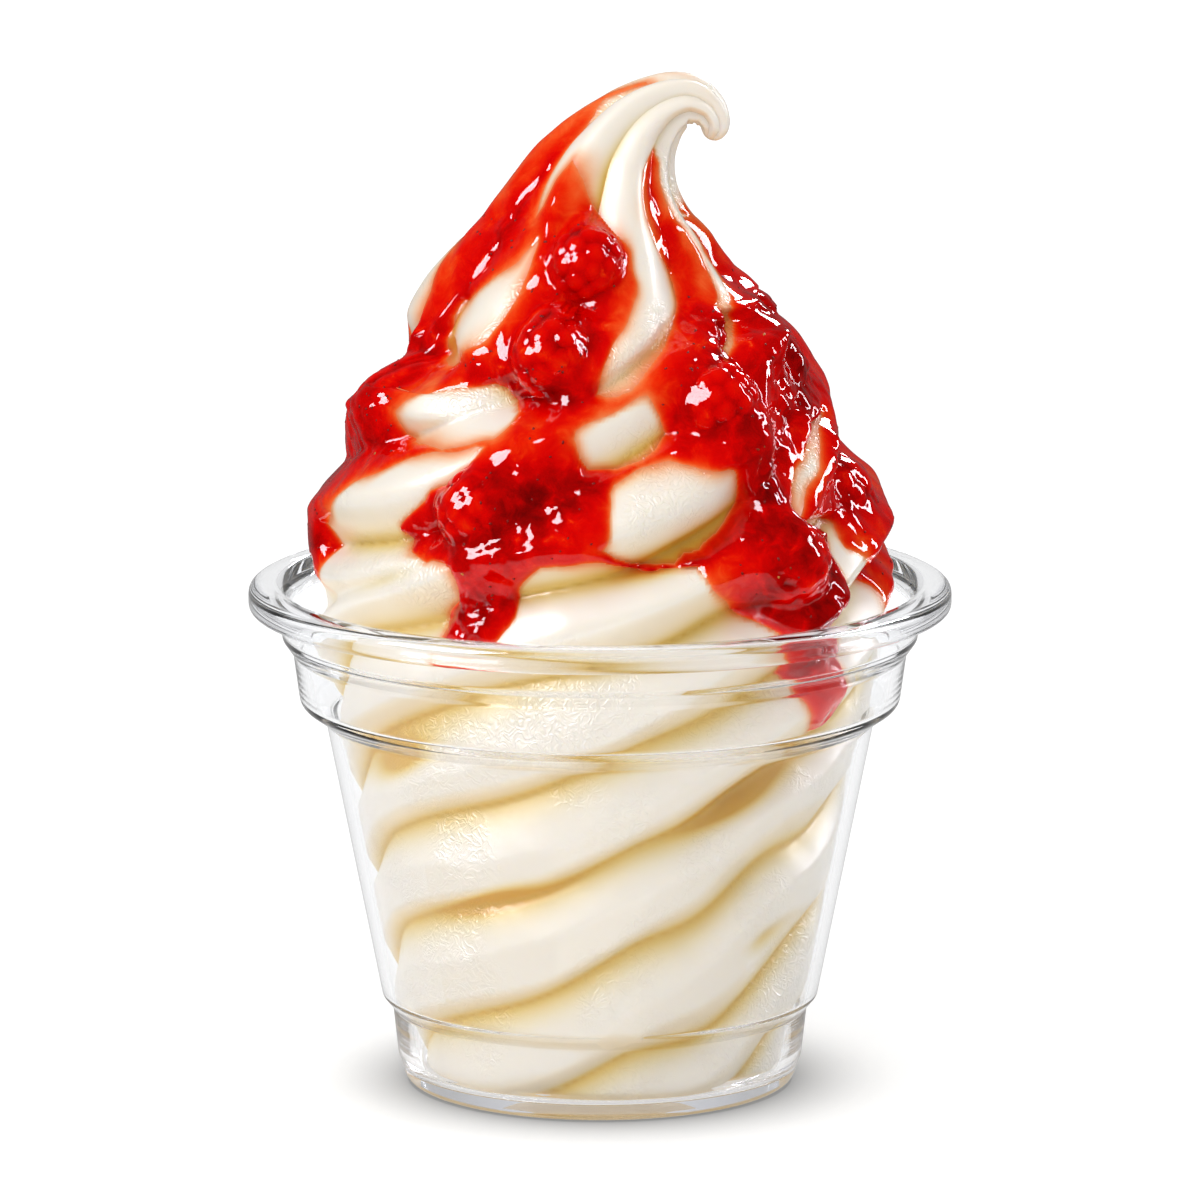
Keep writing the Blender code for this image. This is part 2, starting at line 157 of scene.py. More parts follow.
def gridFaces(rows, columns):
    # quads of a grid that closes on itself along its columns
    i, j = np.meshgrid(np.arange(rows - 1), np.arange(columns), indexing="ij")
    k = (j + 1) % columns
    quad = np.stack([i * columns + j, i * columns + k, (i + 1) * columns + k, (i + 1) * columns + j], -1)
    return quad.reshape(-1, 4)


swirl = {
    "spine": [(0.0, 2.2), (0.0, 40.0), (0.0, 80.0), (0.0, 95.0), (-0.5, 101.0), (-0.7, 106.0), (-0.3, 111.5),
        (0.5, 117.4), (2.2, 122.2), (4.9, 126.3), (8.1, 129.1), (11.3, 130.1), (13.7, 129.1), (14.7, 127.6),
        (14.8, 126.4), (14.2, 124.9)],
    "outline": [(2.2, 22.9), (3.2, 24.2), (10.0, 26.0), (12.0, 27.6), (48.0, 34.9), (52.0, 36.0), (58.0, 36.9),
        (66.0, 37.8), (73.0, 37.8), (80.0, 36.4), (88.0, 33.0), (95.0, 29.0), (101.6, 25.0), (107.1, 20.1),
        (112.1, 15.8), (118.2, 11.6), (123.2, 8.6), (127.9, 6.2), (132.1, 4.5), (136.2, 3.2), (139.3, 2.3),
        (141.7, 1.95), (144.5, 1.85)],
    "folds": 6,
    "twist": [(2.6, -6.5), (9.7, -6.0), (24.8, -5.0), (37.7, -4.0), (52.2, -3.0), (67.8, -2.0), (79.8, -1.0),
        (94.0, 0.0), (104.0, 0.8)],
    "lean": [(0.0, 3.4), (60.0, 3.2), (80.0, 1.6), (104.0, 1.6)],
    # turns that the folds in the cup are moved by: round both sides, by mm along
    "leftShift": [(0.0, 0.0), (10.0, -0.08), (17.0, -0.15), (31.0, -0.40), (44.0, -0.52), (55.0, -0.60),
        (62.0, -0.42), (68.0, -0.15), (74.0, 0.0), (104.0, 0.0)],
    "rightShift": [(0.0, 0.0), (18.0, 0.0), (26.0, 0.2), (38.0, 0.38), (50.0, 0.25), (62.0, 0.18), (72.0, 0.0),
        (104.0, 0.0)],
    "depth": [(3.0, 2.2), (20.0, 3.8), (45.0, 4.4), (60.0, 4.6), (75.0, 4.8), (104.0, 4.8)],
    "coneFolds": 8,
    "coneCrowd": 2.0,
    "coneLine": [(94.0, -14.0), (97.0, -3.0), (100.0, 7.0), (104.0, 14.5), (108.0, 18.5), (112.0, 21.0),
        (118.0, 20.0), (124.0, 14.0), (130.0, 8.0), (146.0, 0.0)],
    "coneDepth": [(94.0, 3.6), (98.0, 4.0), (105.0, 4.0), (112.0, 3.2), (120.0, 2.1), (128.0, 1.4), (136.0, 0.8),
        (144.0, 0.2)],
    "seat": [(-180.0, 101.0), (-90.0, 101.0), (-60.0, 101.0), (-36.0, 98.3), (-12.0, 96.6), (0.0, 96.6),
        (12.0, 98.8), (25.0, 101.5), (45.0, 103.0), (64.0, 102.5), (84.0, 101.2), (110.0, 100.5), (180.0, 101.0)],
    # deep creases: degrees round, mm along, mm deep, degrees wide, mm wide
    "creases": [(36.0, 43.5, 1.2, 12.0, 2.6), (-24.0, 31.5, 0.4, 14.0, 2.0), (-50.0, 47.0, 0.5, 12.0, 3.0),
        (45.0, 23.5, 1.2, 10.0, 2.2), (22.0, 77.0, 1.4, 14.0, 1.8), (84.0, 101.3, 4.4, 20.0, 2.3),
        (-80.0, 65.4, 2.8, 14.0, 1.8), (-50.0, 71.2, 1.6, 15.0, 1.4), (88.0, 87.8, 5.0, 24.0, 3.5),
        (114.0, 98.2, 2.8, 12.0, 2.2), (112.0, 84.0, 2.2, 11.0, 2.4)],
    # places that swell instead, in the same form
    "swells": [(-86.0, 70.8, 2.4, 13.0, 2.6), (-94.0, 103.5, 1.5, 18.0, 5.0), (90.0, 96.0, 0.5, 20.0, 3.5),
        (-43.0, 91.8, 2.9, 19.0, 3.0)],
    "columns": 400,
    "rows": 246,
}


def spineFrame(s):
    points = np.array(swirl["spine"])
    length = np.concatenate([[0.0], np.cumsum(np.hypot(*np.diff(points, axis=0).T))]) + points[0, 1]
    tangent = np.zeros_like(points)
    tangent[1:-1] = (points[2:] - points[:-2]) / (length[2:] - length[:-2])[:, None]
    tangent[:3] = (0.0, 1.0)
    tangent[-1] = (points[-1] - points[-2]) / (length[-1] - length[-2])
    s = np.asarray(s, float)
    i = np.clip(np.searchsorted(length, s) - 1, 0, len(length) - 2)
    span = length[i + 1] - length[i]
    u = np.clip((s - length[i]) / span, 0, 1)
    a, b = (1 + 2 * u) * (1 - u) ** 2, u * (1 - u) ** 2 * span
    c, d = u * u * (3 - 2 * u), -u * u * (1 - u) * span
    place = a[..., None] * points[i] + b[..., None] * tangent[i]
    place = place + c[..., None] * points[i + 1] + d[..., None] * tangent[i + 1]
    a, b, d = (6 * u * u - 6 * u) / span, 3 * u * u - 4 * u + 1, 3 * u * u - 2 * u
    way = a[..., None] * (points[i] - points[i + 1]) + b[..., None] * tangent[i] + d[..., None] * tangent[i + 1]
    way = way / np.linalg.norm(way, axis=-1, keepdims=True)
    return place[..., 0], place[..., 1], way[..., 0], way[..., 1]


def spineLength():
    points = np.array(swirl["spine"])
    return float(np.hypot(*np.diff(points, axis=0).T).sum()) + points[0, 1]


def placeAt(theta, s, r):
    x, z, dx, dz = spineFrame(s)
    return np.stack([x + dz * r * np.sin(theta), -r * np.cos(theta), z - dx * r * np.sin(theta)], -1)


def degreesRound(theta):
    return np.degrees((theta + np.pi) % (2 * np.pi) - np.pi)


def foldWave(phase, low, soft):
    # one on a crest (whole phase), zero in the crease, which lies at the share low; soft rounds the crest
    q = phase - np.floor(phase)
    t = np.where(q < low, q / low * 0.5, 0.5 + (q - low) / (1 - low) * 0.5)
    away = np.minimum(t, 1 - t)
    face = (np.sqrt(away ** 2 + soft ** 2) - soft) / (math.sqrt(0.25 + soft ** 2) - soft)
    return 1 - 0.8 * face - 0.2 * (1 - np.abs(np.cos(np.pi * t)))


def coneTurn(theta):
    return (swirl["coneFolds"] * theta + swirl["coneCrowd"] * np.sin(theta - math.radians(110.0))) / (2 * np.pi)


def creamSurface(theta, s):
    # radius of the bare ice cream, and how deep in a crease each place is, 0 to 1
    deg = degreesRound(theta)
    outer = smoothThrough(s, swirl["outline"])
    points = placeAt(theta, s, outer)
    lean = smoothThrough(s, swirl["lean"])
    side = 0.30 * np.exp(-((deg - 58.0) / 22.0) ** 2) * ease(66.0, 84.0, s)
    side = side + smoothThrough(s, swirl["leftShift"]) * np.exp(-((deg + 92.0) / 34.0) ** 2)
    side = side + smoothThrough(s, swirl["rightShift"]) * np.exp(-((deg - 42.0) / 18.0) ** 2)
    turn = (swirl["folds"] * np.radians(deg) + lean * (1 - np.cos(theta))) / (2 * np.pi)
    phase = turn + side - smoothThrough(s, swirl["twist"]) + 0.035 * wobble(points, 16.0, 3)
    # in front, in the cup, each crease lies close under the crest above it
    front = ease(-84.0, -58.0, deg) * ease(40.0, 6.0, deg) * ease(67.0, 58.0, s)
    low = 0.45 + 0.34 * front
    folds = 1 - foldWave(-phase, low, 0.10)
    conePhase = coneTurn(theta) - coneTurn(np.radians(smoothThrough(s, swirl["coneLine"])))
    coneFolds = 1 - foldWave(-conePhase, 0.5, 0.16)
    besideWall = (0.5 * np.exp(-((np.abs(deg) - 92.0) / 26.0) ** 2)) * ease(66.0, 54.0, s)
    depth = smoothThrough(s, swirl["depth"]) * (1 - besideWall) * (1 - 0.26 * front)
    depth = depth * (1 + 0.10 * wobble(points, 22.0, 5))
    mound = outer - depth * folds
    coneDepth = smoothThrough(s, swirl["coneDepth"])
    cone = outer - coneDepth * coneFolds
    seat = smoothThrough(deg, swirl["seat"])
    mix = ease(seat - 1.6, seat + 1.6, s)
    groove = np.exp(-((s - seat) / 2.2) ** 2)
    r = mound * (1 - mix) + cone * mix - 1.6 * groove
    deep = folds * (1 - mix) + coneFolds * mix * np.clip(coneDepth / 2.0, 0, 1) + 0.5 * groove
    for a, z, depth, wide, tall in swirl["creases"]:
        dent = np.exp(-((deg - a) / wide) ** 2 - ((s - z - 0.2 * (deg - a)) / tall) ** 2)
        r = r - depth * dent
        deep = deep + 0.7 * dent
    for a, z, high, wide, tall in swirl["swells"]:
        swell = np.exp(-((deg - a) / wide) ** 2 - ((s - z) / tall) ** 2)
        r = r + high * swell
        deep = deep - 0.4 * high * swell
    left = np.clip((spineLength() - s) / 2.1, 0, 1)
    r = np.maximum(r, 1.75 * ease(138.0, 143.0, s)) * np.sqrt(np.clip(1 - (1 - left) ** 2, 1e-4, 1))
    calm = ease(142.0, 128.0, s)
    r = r + calm * (0.10 * wobble(points, 7.0, 11) + 0.035 * wobble(points, 2.6, 13))
    return r, np.clip(deep, 0, 1.6)


cup = {
    # outside, top of the bead first: radius, height, rounding
    "outside": [(43.6, 66.5, 1.2), (46.0, 66.3, 1.3), (46.0, 63.3, 0.9), (42.0, 63.2, 0.5), (41.6, 59.5, 0.6),
        (40.2, 57.5, 0.9), (39.3, 50.9, 1.5), (36.0, 48.6, 1.2), (28.7, 11.7, 1.0), (27.3, 10.0, 0.9),
        (26.6, 3.6, 1.6), (25.4, 0.05, 1.6), (22.4, 0.05, 0.4), (21.9, 0.9, 0.5), (0.0, 0.9, 0.0)],
    # inside, from the middle of the floor up
    "inside": [(0.0, 2.2, 0.0), (24.4, 2.2, 1.9), (25.9, 10.1, 0.8), (27.4, 12.1, 0.9), (34.6, 49.4, 0.9),
        (37.8, 51.6, 1.2), (38.8, 58.2, 0.9), (40.3, 60.2, 0.8), (40.5, 64.2, 0.9), (41.9, 66.4, 0.9)],
    "steps": 240,
}


def roundCorners(rows, steps=5):
    # a line of (x, z, rounding) with each corner turned into a short arc
    out = []
    for i, (x, z, r) in enumerate(rows):
        here = np.array([x, z])
        if r <= 0 or i in (0, len(rows) - 1):
            out.append(here)
            continue
        a = np.array(rows[i - 1][:2]) - here
        b = np.array(rows[i + 1][:2]) - here
        la, lb = np.linalg.norm(a), np.linalg.norm(b)
        a, b = a / la, b / lb
        half = math.acos(float(np.clip(a @ b, -1, 1))) / 2
        reach = min(r / max(math.tan(half), 0.05), la * 0.48, lb * 0.48)
        start, end = here + a * reach, here + b * reach
        for k in range(steps + 1):
            t = k / steps
            out.append((1 - t) ** 2 * start + 2 * t * (1 - t) * here + t * t * end)
    return np.array(out)


def fillStraights(line, longest=1.6):
    # more points along the long straights, so that the shading stays true
    out = [line[0]]
    for here, there in zip(line[:-1], line[1:]):
        parts = max(1, math.ceil(np.linalg.norm(there - here) / longest))
        out += [here + (there - here) * k / parts for k in range(1, parts + 1)]
    return np.array(out)


def wallInside(s):
    line = [(z, x) for x, z, r in cup["inside"][1:]]
    free = np.interp(s, [p[0] for p in line], [p[1] for p in line])
    return np.where(s > line[-1][0], 99.0, free)


def buildCup(material):
    line = fillStraights(np.vstack([roundCorners(cup["inside"]), roundCorners(cup["outside"])]))
    turn = np.linspace(0, 2 * np.pi, cup["steps"], endpoint=False)
    ring = line[1:-1]
    radius, height = ring[:, 0, None], np.repeat(ring[:, 1, None], len(turn), 1)
    verts = np.stack([radius * np.sin(turn), -radius * np.cos(turn), height], -1).reshape(-1, 3)
    faces = gridFaces(len(ring), len(turn))[:, ::-1]
    verts = np.vstack([verts, [[0, 0, line[0, 1]], [0, 0, line[-1, 1]]]]) * mm
    piece = newMesh("cupShell", verts, faces, material)
    closeEnds(piece, len(turn), False)
    return piece


sauce = {
    # runs from end to end: degrees round, mm along, half width in mm
    "runs": [
        [(118, 118, 1.4), (124, 110, 3.6), (132, 103, 4.6), (146, 96, 6.0), (160, 90, 6.5), (170, 82, 5.5),
         (172, 76, 3.6), (173, 71, 2.6)],
        [(-162, 121, 1.2), (-158, 114, 3.0), (-152, 106, 4.6), (-144, 98, 6.0), (-136, 90, 6.4), (-130, 83, 5.4),
         (-128, 77, 3.2), (-127, 73, 2.4)],
        [(104, 96, 4.0), (124, 98, 3.4), (150, 97, 4.6), (178, 98, 4.2), (205, 97, 4.6), (232, 96, 3.4),
         (250, 98, 3.0)],
        [(116, 84, 4.6), (126, 80, 4.2), (134, 75, 2.6)],
    ],
    "bare": [
        [(168, 104, 2.0), (176, 110, 1.6)],
    ],
    # outline of the sauce at the front and sides, then of the places inside it that stay bare
    "front": [(-50, 46), (60, 46), (90, 60), (98, 66), (104, 71), (112, 78), (108, 84), (112, 90), (116, 98),
        (108, 104), (104, 110), (98, 116), (92, 122), (80, 134), (-80, 134), (-96, 128), (-100, 121), (-106, 114),
        (-112, 108), (-118, 101), (-114, 96), (-106, 88), (-110, 80), (-104, 72), (-100, 62)],
    "gaps": {
        "top": [(-87, 127.5), (-73.5, 126), (-66, 123.5), (-50, 118), (-40.5, 115.5), (-38.5, 116.5), (-39.5, 119),
            (-36.5, 121.5), (-28.5, 121), (-20.5, 120), (-14, 118.5), (14, 114), (16.5, 113), (17.5, 109.5),
            (16.5, 108), (11, 104.5), (7, 103), (2.5, 100), (-0.5, 96), (2, 95.5), (5, 95.5), (8.5, 96), (11.5, 97),
            (32.5, 104), (39, 106.5), (41, 108.5), (41.5, 110.5), (36, 112), (32.5, 114), (27, 120), (24, 124),
            (26.5, 126), (33, 127.5), (44.5, 126.5), (58, 116), (60.5, 113), (58.5, 110), (50.5, 105), (52, 102),
            (43, 98.5), (42.5, 97.5), (55, 102), (55, 105), (65.5, 109.5), (67, 111), (64, 112.5), (67, 114),
            (67, 116), (88, 118), (84, 119), (112, 124), (112, 146), (-112, 146), (-112, 131), (-80, 131.5)],
        "leftEdge": [(-86, 107.5), (-82.5, 105.5), (-85, 99.5), (-90, 99.5), (-94, 100), (-97, 101.5), (-101, 104),
            (-98, 108), (-90, 111)],
        "leaf": [(-31.5, 113), (-36.5, 110), (-55.5, 106), (-66.5, 105), (-67.5, 104.5), (-69, 103.5), (-69, 100),
            (-56, 99.5), (-48.5, 100), (-38, 102), (-35, 103), (-29.5, 106.5), (-29, 108.5), (-30.5, 112)],
        "patch": [(-57.5, 94), (-48.5, 97), (-42.5, 97.5), (-32.5, 97.5), (-29, 96.5), (-27, 95), (-22.5, 93.5),
            (-22.5, 92.5), (-25, 90.5), (-39.5, 88.5), (-54.5, 88), (-60, 88.5), (-61, 90.5), (-61, 92), (-59, 93)],
        "ridge": [(-6, 92), (10.5, 95.5), (12.5, 95.5), (16, 93.5), (17.5, 91), (14, 89), (11, 88), (3.5, 87),
            (-2.5, 87), (-4.5, 88.5), (-6.5, 91)],
        "middle": [(2.5, 84.5), (3.5, 85.5), (9.5, 87), (16.5, 88), (22.5, 87), (29.5, 87), (31.5, 86.5), (34, 82),
            (30, 79.5), (22, 76.5), (19, 76), (16.5, 75), (12.5, 75), (6.5, 75.5), (2.5, 76.5), (0.5, 77.5),
            (1.5, 78.5), (2.5, 83)],
        "rightLeaf": [(73.5, 90.5), (63.5, 89.5), (54.5, 87), (47.5, 84), (44, 81.5), (44.5, 80.5), (45.5, 80),
            (50.5, 83.5), (61.5, 87.5), (72, 90)],
        "below": [(-78.5, 67.8), (-77, 70.5), (-79.5, 75.5), (-73.5, 77.5), (-65.5, 82), (-50, 86.5), (-41.5, 88),
            (-35, 88.5), (-29.5, 89.5), (-27, 89.5), (-33.5, 85), (-38.5, 83), (-40.5, 81.5), (-49, 78), (-49, 77),
            (-47.5, 77), (-44, 75.5), (-37.5, 74.5), (-35.5, 75), (-33, 75), (-31, 74.5), (-30, 73), (-30, 71.5),
            (-30.5, 70), (-32.5, 69), (-35, 67), (-35, 64.5), (-34.5, 63.5), (-26.5, 64), (-21.5, 65), (-18.5, 67),
            (-17.5, 68.5), (-17.5, 70.5), (-16.5, 72), (-12, 75), (-9, 75.5), (-5, 75.5), (0, 76), (5.5, 75),
            (11, 74.5), (20.5, 75), (23, 72), (31.5, 67.5), (37.5, 65.5), (38.5, 64), (43.5, 59.5), (47, 54.5),
            (49.5, 52), (53, 50.5), (56.5, 50.5), (58.5, 52.5), (58.5, 55), (57.5, 62), (58, 65.5), (56.5, 73.5),
            (58.5, 75), (59, 76), (59, 76.5), (45, 79.5), (48, 79.5), (58, 78.5), (63.5, 77.5), (64, 77), (61.5, 75),
            (61.5, 74), (77, 69), (79.5, 67.5), (80, 66), (79, 64.5), (82, 63.5), (96, 67.5), (112, 69.5), (112, 40),
            (-112, 40), (-112, 70), (-92, 68.2), (-84, 67.4)],
    },
    # thick places: degrees round, mm along, mm thick, mm across
    "lumps": [(-78, 91, 1.0, 6.0), (-86, 99.5, 2.2, 3.6), (-84, 81, 0.7, 4.5), (-88, 71.5, 0.8, 3.6),
        (-25, 81, 2.2, 6.5), (-14, 83, 1.2, 6.0), (-27, 68, 1.3, 3.6), (-6, 110, 1.2, 5.5), (-13, 101, 1.6, 5.5),
        (33, 93, 1.8, 5.5), (40, 86, 1.4, 4.5), (42, 74, 2.4, 7.0), (47, 68, 2.2, 5.5), (50, 58, 0.5, 4.0),
        (74, 106, 1.2, 4.0), (72, 95, 1.2, 5.0), (80, 77.5, 0.8, 5.0), (150, 94, 2.0, 7.0), (170, 80, 1.8, 5.0),
        (-144, 96, 2.0, 6.5), (-130, 82, 1.8, 5.0), (-62, 112, 0.9, 5.0), (56, 97, 1.2, 6.0), (63, 88, 1.0, 5.0),
        (66, 104, 0.7, 5.0), (96, 104, 1.0, 6.0)],
    # drips that fill a crease: degrees round, degrees wide, then mm along and the radius they reach
    "fills": [
        (-90.0, 15.0, [(65.0, 31.5), (66.7, 35.2), (68.0, 36.6), (69.5, 37.5), (71.3, 38.1), (73.6, 38.2),
            (76.0, 37.8), (78.7, 36.6), (82.0, 33.5)]),
    ],
    "thin": 0.48,
    "fruitDepth": 0.62,  # mm of colour over the tops of the grains
    # mm of sauce over each berry, less than zero where it stands out
    "glaze": [-0.05, 0.02, -0.02, 0.2, 0.35, 0.2, 0.35, 0.3, 0.3],
    "columns": 660,
    "rows": 300,
}


def runReach(deg, s, runs):
    # mm inside the nearest run, less than zero outside
    scale = np.radians(1.0) * smoothThrough(s, swirl["outline"])
    best = np.full(np.shape(s), -60.0)
    for run in runs:
        for p, q in zip(run[:-1], run[1:]):
            x = ((deg - p[0] + 180.0) % 360.0 - 180.0) * scale
            y = s - p[1]
            ex, ey = (q[0] - p[0]) * scale, q[1] - p[1]
            t = np.clip((x * ex + y * ey) / (ex * ex + ey * ey + 1e-9), 0, 1)
            reach = p[2] + (q[2] - p[2]) * t - np.hypot(x - t * ex, y - t * ey)
            h = np.clip(0.5 + 0.5 * (reach - best) / 0.8, 0, 1)
            best = best * (1 - h) + reach * h + 0.8 * h * (1 - h)
    return best


def outlineReach(deg, s, outline):
    # mm inside a closed outline, less than zero outside
    scale = np.radians(1.0) * smoothThrough(s, swirl["outline"])
    away = np.full(np.shape(s), 60.0)
    within = np.zeros(np.shape(s), bool)
    for p, q in zip(outline, outline[1:] + outline[:1]):
        x, y = (deg - p[0]) * scale, s - p[1]
        ex, ey = (q[0] - p[0]) * scale, q[1] - p[1]
        t = np.clip((x * ex + y * ey) / (ex * ex + ey * ey + 1e-9), 0, 1)
        away = np.minimum(away, np.hypot(x - t * ex, y - t * ey))
        if p[1] != q[1]:
            within ^= ((p[1] > s) != (q[1] > s)) & (deg < p[0] + (s - p[1]) / (q[1] - p[1]) * (q[0] - p[0]))
    return np.where(within, away, -away)


def sauceCover(theta, s):
    # mm inside the sauce's edge, with the edge made uneven
    points = placeAt(theta, s, smoothThrough(s, swirl["outline"]))
    deg = degreesRound(theta) + 0.35 * wobble(points, 6.0, 21) + 0.25 * wobble(points, 2.6, 22)
    along = s + 0.20 * wobble(points, 6.0, 23) + 0.14 * wobble(points, 2.4, 24)
    inside = np.maximum(runReach(deg, along, sauce["runs"]), outlineReach(deg, along, sauce["front"]))
    inside = np.minimum(inside, -runReach(deg, along, sauce["bare"]))
    for gap in sauce["gaps"].values():
        inside = np.minimum(inside, -outlineReach(deg, along, gap))
    return inside, points


def berryPlaces():
    rows = []
    for i in range(1, 10):
        low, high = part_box("berry_" + str(i))
        settle = berry["settle"].get(i, (0.0, 0.0, 0.0))
        rows.append((np.array((low + high) / 2) / mm + settle, (high - low).length / math.sqrt(3) / 2 / mm))
    return rows


def overBerries(theta, s, skin):
    # the sauce runs over the berries and sinks between their grains
    x, z, dx, dz = spineFrame(s)
    foot = np.stack([x, np.zeros_like(x), z], -1)
    way = np.stack([dz * np.sin(theta), -np.cos(theta), -dx * np.sin(theta)], -1)
    fruit = np.zeros_like(skin)
    for i, (middle, radius) in enumerate(berryPlaces()):
        glaze = sauce["glaze"][i]
        full = radius + glaze
        reach = ((middle - foot) * way).sum(-1)
        across = np.sqrt(np.clip(((middle - foot) ** 2).sum(-1) - reach ** 2, 0, None))
        brow = 0.93 * full
        high = reach + np.sqrt(np.clip(full ** 2 - np.minimum(across, brow) ** 2, 0, None))
        high = high - 2.5 * np.clip(across - brow, 0, 9)
        under = np.linalg.norm(placeAt(theta, s, skin) - middle, axis=-1)
        near = (reach > 0) & (across < full * 1.5) & (under < full + 2.5)
        out = placeAt(theta, s, np.maximum(high, 1.0))[near] - middle
        out /= np.linalg.norm(out, axis=-1, keepdims=True) + 1e-9
        high = np.where(near, high, -99)
        top = grains(out, 101 + i)
        high[near] -= 0.62 * (1 - top)
        blend = 1.5 if glaze < 0.1 else 2.4
        h = np.clip(0.5 + 0.5 * (high - skin) / blend, 0, 1)
        skin = skin * (1 - h) + high * h + blend * h * (1 - h)
        fruit[near] = np.maximum(fruit[near], (h[near] ** 2) * (0.35 + 0.65 * top))
    return skin, fruit


def sauceDepth(theta, s, deep, creamRadius):
    inside, points = sauceCover(theta, s)
    deg = degreesRound(theta)
    scale = np.radians(1.0) * smoothThrough(s, swirl["outline"])
    thick = sauce["thin"] * (1 + 0.25 * wobble(points, 9.0, 31))
    thick = thick + (0.5 + 1.1 * ease(84.0, 70.0, np.abs(deg))) * np.clip(deep, 0, 1) ** 2
    for a, z, high, wide in sauce["lumps"]:
        x = ((deg - a + 180.0) % 360.0 - 180.0) * scale
        thick = thick + high * np.exp(-(x * x + (s - z) ** 2) / (wide * wide))
    thick = thick * (1 - 0.45 * ease(100.0, 109.0, s))
    pulp = np.clip((thick - 0.7) / 1.2, 0, 1)
    flow = np.stack([theta * scale * 57.3, s * 0.22, 0 * s], -1)
    clots = 0.75 * (packedLumps(points, 2.9, 33) - 0.6) + 0.34 * (packedLumps(points, 1.5, 40) - 0.6)
    thick = thick + pulp * (clots + 0.40 * wobble(points, 5.0, 34) + 0.10 * wobble(points, 1.6, 36))
    thick = thick + 0.16 * wobble(flow, 2.4, 38) + 0.05 * wobble(points, 1.8, 39)
    crisp = ease(86.0, 72.0, s)
    soft = 0.9 + 0.35 * wobble(points, 9.0, 35) - 0.45 * crisp
    edge = 1 - np.exp(-np.clip(inside, 0, 20) / np.clip(soft, 0.3, 1.6))
    top = np.clip(thick, 0.2, 9) * edge * ease(136.0, 124.0, s)
    draped, fruit = overBerries(theta, s, creamRadius + top)
    draped = draped - creamRadius
    top = top + (draped - top) * (1 - np.exp(-np.clip(inside, 0, 9) / 0.5))
    top = top - 0.4 * np.clip(-inside, 0, 1.2)
    for a, wide, table in sauce["fills"]:
        high = smoothThrough(s, table) - 1.5 * ((deg - a) / wide) ** 2 - creamRadius
        high = np.where((s > table[0][0]) & (s < table[-1][0]), high, -9.0)
        h = np.clip(0.5 + 0.5 * (high - top) / 1.4, 0, 1)
        filled = top * (1 - h) + high * h + 1.4 * h * (1 - h)
        top = top + (filled - top) * (1 - np.exp(-np.clip(inside, 0, 9) / 0.6))
    seep = np.clip(0.50 + 0.32 * wobble(points, 7.0, 37) - 0.27 * crisp, 0.16, 1.1)
    stain = 0.26 * np.exp(np.minimum(inside, 0) / seep)
    return np.clip(top, -0.45, 9), inside, stain, fruit


# mm that the folds press into the wall, then mm of air beside them at both sides and degrees that it reaches
atWall = {"into": 0.06, "air": 0.45, "airWide": 32.0}


def surfaceInCup(r, theta, s, skin=0.0):
    air = atWall["air"] * np.exp(-((np.abs(degreesRound(theta)) - 90.0) / atWall["airWide"]) ** 2)
    return np.minimum(r, wallInside(s) + atWall["into"] + skin - air)


def buildCream(material):
    # rows lie closer at the foot and over the last mm of the tip
    foot, hook, hookRows = [2.16, 2.22, 2.5, 2.9, 3.5], 13.0, 29
    body = np.linspace(4.4, spineLength() - hook, swirl["rows"] - hookRows - 4)
    end = spineLength() - hook * np.linspace(1, 0, hookRows)[1:-1] ** 2
    rows = np.concatenate([foot, body, end, [spineLength() - 0.002]])
    turn = np.linspace(-np.pi, np.pi, swirl["columns"], endpoint=False)
    theta, s = np.meshgrid(turn, rows)
    r, deep = creamSurface(theta, s)
    r = surfaceInCup(r, theta, s)
    stain = sauceDepth(theta, s, deep, r)[2]
    x, z = spineFrame(np.array(spineLength()))[:2]
    underside, tip = [0, 0, 2.15], [float(x), 0, float(z)]
    verts = np.vstack([placeAt(theta, s, r).reshape(-1, 3), [underside], [tip]]) * mm
    piece = newMesh("softServe", verts, gridFaces(len(rows), len(turn)), material)
    closeEnds(piece, len(turn), True)
    normals = np.zeros(len(piece.data.vertices) * 3, np.float32)
    piece.data.vertices.foreach_get("normal", normals)
    ends = [0.0, 0.0]
    # crease depth and downward facing, which the painted shade of the ice cream reads
    addValue(piece, "crease", np.append(deep.ravel(), ends))
    addValue(piece, "under", np.clip(-normals[2::3], 0, 1))
    # painted glow, strongest over the bottom mm of the ice cream
    height = verts[:, 2] / mm
    addValue(piece, "paintedFootGlow", np.exp(-np.clip(height - 2.4, 0, 99) / 0.5))
    addValue(piece, "stain", np.append(stain.ravel(), ends))
    return piece


def buildSauce(material):
    rows = np.linspace(46.0, 134.0, sauce["rows"])
    turn = np.linspace(-np.pi, np.pi, sauce["columns"], endpoint=False)
    theta, s = np.meshgrid(turn, rows)
    r, deep = creamSurface(theta, s)
    r = surfaceInCup(r, theta, s)
    top, inside, stain, fruit = sauceDepth(theta, s, deep, r)
    skin = np.where(s < 64.0, surfaceInCup(r + top, theta, s, 0.02), r + top)
    verts = placeAt(theta, s, skin).reshape(-1, 3) * mm
    faces = gridFaces(len(rows), len(turn))
    keep = (inside.ravel() > -0.9)[faces].any(1)
    faces = faces[keep]
    used, fresh = np.unique(faces, return_inverse=True)
    piece = newMesh("berrySauce", verts[used], fresh.reshape(-1, 4), material)
    depth = np.clip(skin - r, 0, 4.0)
    depth = depth + (np.minimum(depth, sauce["fruitDepth"]) - depth) * fruit
    addValue(piece, "thickness", (depth + stain).ravel()[used])
    print("sauce quads", len(faces))
    return piece


# settle: mm that a berry has sunk from its middle
berry = {"grains": 46, "grainWidth": 0.34, "grainHeight": 0.16, "fineness": 5, "settle": {7: (-1.4, 0.0, -1.6)}}


